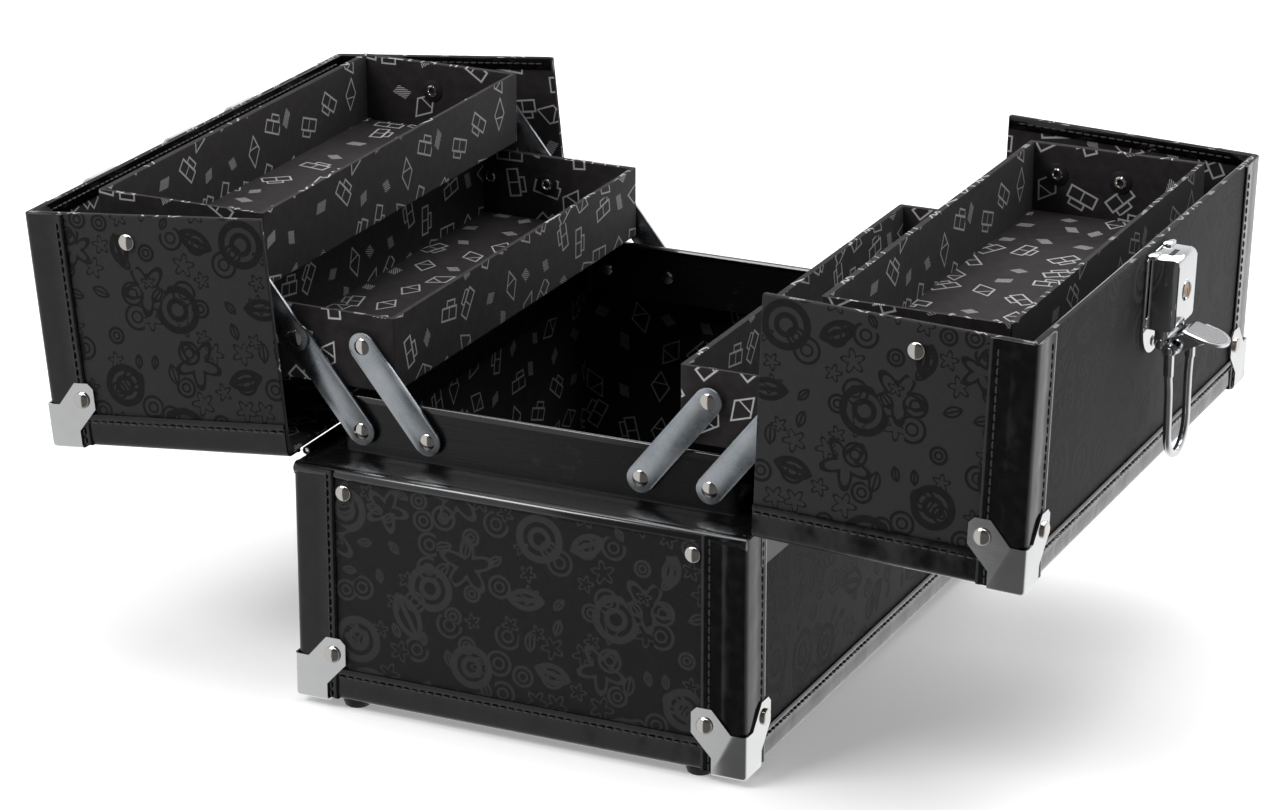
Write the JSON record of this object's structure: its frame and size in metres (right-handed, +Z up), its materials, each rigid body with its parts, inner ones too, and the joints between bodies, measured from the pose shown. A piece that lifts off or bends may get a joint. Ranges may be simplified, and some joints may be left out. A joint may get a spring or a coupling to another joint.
{
  "type": "makeup train case",
  "caption": "Hard-sided makeup train case with twin lids hinged at the long edges, cantilever trays on parallel links, a key latch and a carrying handle",
  "frame": {"origin": "on the floor, under the middle of the base", "axes": "+Z up, +Y from the front end to the rear end along the hinge lines, +X towards the lid with the latch"},
  "size_m": [0.6031, 0.3376, 0.2592],
  "materials": {
    "jacquard": "black tone-on-tone figured weave over a stiff board",
    "lining": "charcoal fine-ribbed fabric with pale outlined shapes",
    "black_frame": "semi-gloss black anodised sheet",
    "satin_caps": "satin nickel plate",
    "feet": "matt black moulded rubber",
    "hinge_steel": "plated rolled steel",
    "zinc_links": "zinc-plated strip, satin blue-grey",
    "lid_arms": "nickel-plated strip",
    "brass_plug": "worn brass",
    "chrome_latch": "polished chrome plate",
    "grip": "glossy black moulded plastic"
  },
  "bodies": {
    "base": {"base_shell": "jacquard", "frame_rail_front": "black_frame", "base_corner_cap_front_right": "satin_caps", "foot_front_right": "feet", "base_corner_cap_front_left": "satin_caps", "foot_front_left": "feet", "frame_rail_rear": "black_frame", "base_corner_cap_rear_right": "satin_caps", "foot_rear_right": "feet", "base_corner_cap_rear_left": "satin_caps", "foot_rear_left": "feet", "frame_rail_right": "black_frame", "hinge_base_leaf_right": "hinge_steel", "hinge_pin_right": "hinge_steel", "frame_rail_left": "black_frame", "hinge_base_leaf_left": "hinge_steel", "hinge_pin_left": "hinge_steel"},
    "lid_right": {"lid_shell_right": "jacquard", "hinge_lid_leaf_right": "hinge_steel", "lid_corner_cap_front_right": "satin_caps", "lid_corner_cap_rear_right": "satin_caps", "latch_plate": "chrome_latch", "latch_case": "chrome_latch"},
    "lid_arms_right": {"lid_arm_front_right": "lid_arms", "lid_arm_rear_right": "lid_arms"},
    "lower_tray_right": {"lower_tray_right": "lining"},
    "lower_links_inner_right": {"lower_link_inner_front_right": "zinc_links", "lower_link_inner_rear_right": "zinc_links"},
    "lower_links_outer_right": {"lower_link_outer_front_right": "zinc_links", "lower_link_outer_rear_right": "zinc_links"},
    "upper_tray_right": {"upper_tray_right": "lining"},
    "upper_links_inner_right": {"upper_link_inner_front_right": "zinc_links", "upper_link_inner_rear_right": "zinc_links"},
    "upper_links_outer_right": {"upper_link_outer_front_right": "zinc_links", "upper_link_outer_rear_right": "zinc_links"},
    "lid_left": {"lid_shell_left": "jacquard", "hinge_lid_leaf_left": "hinge_steel", "lid_corner_cap_front_left": "satin_caps", "lid_corner_cap_rear_left": "satin_caps", "handle_bracket_front": "chrome_latch", "handle_bracket_rear": "chrome_latch", "latch_catch": "chrome_latch"},
    "lid_arms_left": {"lid_arm_front_left": "lid_arms", "lid_arm_rear_left": "lid_arms"},
    "lower_tray_left": {"lower_tray_left": "lining"},
    "lower_links_inner_left": {"lower_link_inner_front_left": "zinc_links", "lower_link_inner_rear_left": "zinc_links"},
    "lower_links_outer_left": {"lower_link_outer_front_left": "zinc_links", "lower_link_outer_rear_left": "zinc_links"},
    "upper_tray_left": {"upper_tray_left": "lining"},
    "upper_links_inner_left": {"upper_link_inner_front_left": "zinc_links", "upper_link_inner_rear_left": "zinc_links"},
    "upper_links_outer_left": {"upper_link_outer_front_left": "zinc_links", "upper_link_outer_rear_left": "zinc_links"},
    "lock_plug": {"lock_plug": "brass_plug"},
    "latch_lever": {"latch_lever": "chrome_latch"},
    "latch_bail": {"latch_bail": "chrome_latch"},
    "handle_grip": {"handle_grip": "grip"}
  },
  "joints": [
    {"name": "lid_hinge_right", "type": "hinge", "parent": "base", "child": "lid_right", "pos_m": [0.1275, 0, 0.1323], "axis": [0, -1, 0], "range_deg": [0, 92]},
    {"name": "lower_link_inner_hinge_right", "type": "hinge", "parent": "base", "child": "lower_links_inner_right", "pos_m": [0.05927, 0, 0.14645], "axis": [0, -1, 0], "range_deg": [0, 81.61]},
    {"name": "lower_link_outer_hinge_right", "type": "hinge", "parent": "base", "child": "lower_links_outer_right", "pos_m": [0.09677, 0, 0.14645], "axis": [0, -1, 0], "range_deg": [0, 81.61]},
    {"name": "lower_tray_hinge_right", "type": "hinge", "parent": "lower_links_outer_right", "child": "lower_tray_right", "pos_m": [0.133, 0, 0.192], "axis": [0, -1, 0], "range_deg": [-81.61, 0]},
    {"name": "upper_link_inner_hinge_right", "type": "hinge", "parent": "lower_tray_right", "child": "upper_links_inner_right", "pos_m": [0.133, 0, 0.192], "axis": [0, -1, 0], "range_deg": [0, 81.61]},
    {"name": "upper_link_outer_hinge_right", "type": "hinge", "parent": "lower_tray_right", "child": "upper_links_outer_right", "pos_m": [0.1685, 0, 0.192], "axis": [0, -1, 0], "range_deg": [0, 81.61]},
    {"name": "upper_tray_hinge_right", "type": "hinge", "parent": "upper_links_inner_right", "child": "upper_tray_right", "pos_m": [0.16923, 0, 0.23755], "axis": [0, -1, 0], "range_deg": [-81.61, 0]},
    {"name": "lid_arm_hinge_right", "type": "hinge", "parent": "lid_right", "child": "lid_arms_right", "pos_m": [0.21139, 0, 0.24244], "axis": [0, -1, 0], "range_deg": [0, 21.72]},
    {"name": "lid_hinge_left", "type": "hinge", "parent": "base", "child": "lid_left", "pos_m": [-0.1275, 0, 0.1323], "axis": [0, 1, 0], "range_deg": [0, 96]},
    {"name": "lower_link_inner_hinge_left", "type": "hinge", "parent": "base", "child": "lower_links_inner_left", "pos_m": [-0.05927, 0, 0.14645], "axis": [0, 1, 0], "range_deg": [0, 81.61]},
    {"name": "lower_link_outer_hinge_left", "type": "hinge", "parent": "base", "child": "lower_links_outer_left", "pos_m": [-0.09677, 0, 0.14645], "axis": [0, 1, 0], "range_deg": [0, 81.61]},
    {"name": "lower_tray_hinge_left", "type": "hinge", "parent": "lower_links_outer_left", "child": "lower_tray_left", "pos_m": [-0.133, 0, 0.192], "axis": [0, 1, 0], "range_deg": [-81.61, 0]},
    {"name": "upper_link_inner_hinge_left", "type": "hinge", "parent": "lower_tray_left", "child": "upper_links_inner_left", "pos_m": [-0.133, 0, 0.192], "axis": [0, 1, 0], "range_deg": [0, 81.61]},
    {"name": "upper_link_outer_hinge_left", "type": "hinge", "parent": "lower_tray_left", "child": "upper_links_outer_left", "pos_m": [-0.1685, 0, 0.192], "axis": [0, 1, 0], "range_deg": [0, 81.61]},
    {"name": "upper_tray_hinge_left", "type": "hinge", "parent": "upper_links_inner_left", "child": "upper_tray_left", "pos_m": [-0.16923, 0, 0.23755], "axis": [0, 1, 0], "range_deg": [-81.61, 0]},
    {"name": "lid_arm_hinge_left", "type": "hinge", "parent": "lid_left", "child": "lid_arms_left", "pos_m": [-0.21887, 0, 0.23632], "axis": [0, 1, 0], "range_deg": [0, 26]},
    {"name": "lock_plug_turn", "type": "hinge", "parent": "lid_right", "child": "lock_plug", "pos_m": [0.28487, 0.002, 0.23187], "axis": [0.9994, 0, -0.0349], "range_deg": [0, 90]},
    {"name": "latch_lever_hinge", "type": "hinge", "parent": "lid_right", "child": "latch_lever", "pos_m": [0.27948, 0.002, 0.20654], "axis": [0, -1, 0], "range_deg": [-6, 12]},
    {"name": "latch_bail_hinge", "type": "hinge", "parent": "latch_lever", "child": "latch_bail", "pos_m": [0.28544, 0.002, 0.20483], "axis": [0, -1, 0], "range_deg": [-5, 142]},
    {"name": "handle_grip_hinge", "type": "hinge", "parent": "lid_left", "child": "handle_grip", "pos_m": [-0.28751, -0.006, 0.23112], "axis": [0, 1, 0], "range_deg": [0, 90]}
  ],
  "couplings": [
    {"joint": "lower_link_inner_hinge_right", "follows": "lid_hinge_right", "ratio": 0.88696},
    {"joint": "lower_link_outer_hinge_right", "follows": "lid_hinge_right", "ratio": 0.88696},
    {"joint": "lower_tray_hinge_right", "follows": "lid_hinge_right", "ratio": -0.88696},
    {"joint": "upper_link_inner_hinge_right", "follows": "lid_hinge_right", "ratio": 0.88696},
    {"joint": "upper_link_outer_hinge_right", "follows": "lid_hinge_right", "ratio": 0.88696},
    {"joint": "upper_tray_hinge_right", "follows": "lid_hinge_right", "ratio": -0.88696},
    {"joint": "lid_arm_hinge_right", "follows": "lid_hinge_right", "ratio": 0.23598},
    {"joint": "lower_link_inner_hinge_left", "follows": "lid_hinge_left", "ratio": 0.85},
    {"joint": "lower_link_outer_hinge_left", "follows": "lid_hinge_left", "ratio": 0.85},
    {"joint": "lower_tray_hinge_left", "follows": "lid_hinge_left", "ratio": -0.85},
    {"joint": "upper_link_inner_hinge_left", "follows": "lid_hinge_left", "ratio": 0.85},
    {"joint": "upper_link_outer_hinge_left", "follows": "lid_hinge_left", "ratio": 0.85},
    {"joint": "upper_tray_hinge_left", "follows": "lid_hinge_left", "ratio": -0.85},
    {"joint": "lid_arm_hinge_left", "follows": "lid_hinge_left", "ratio": 0.27073}
  ]
}
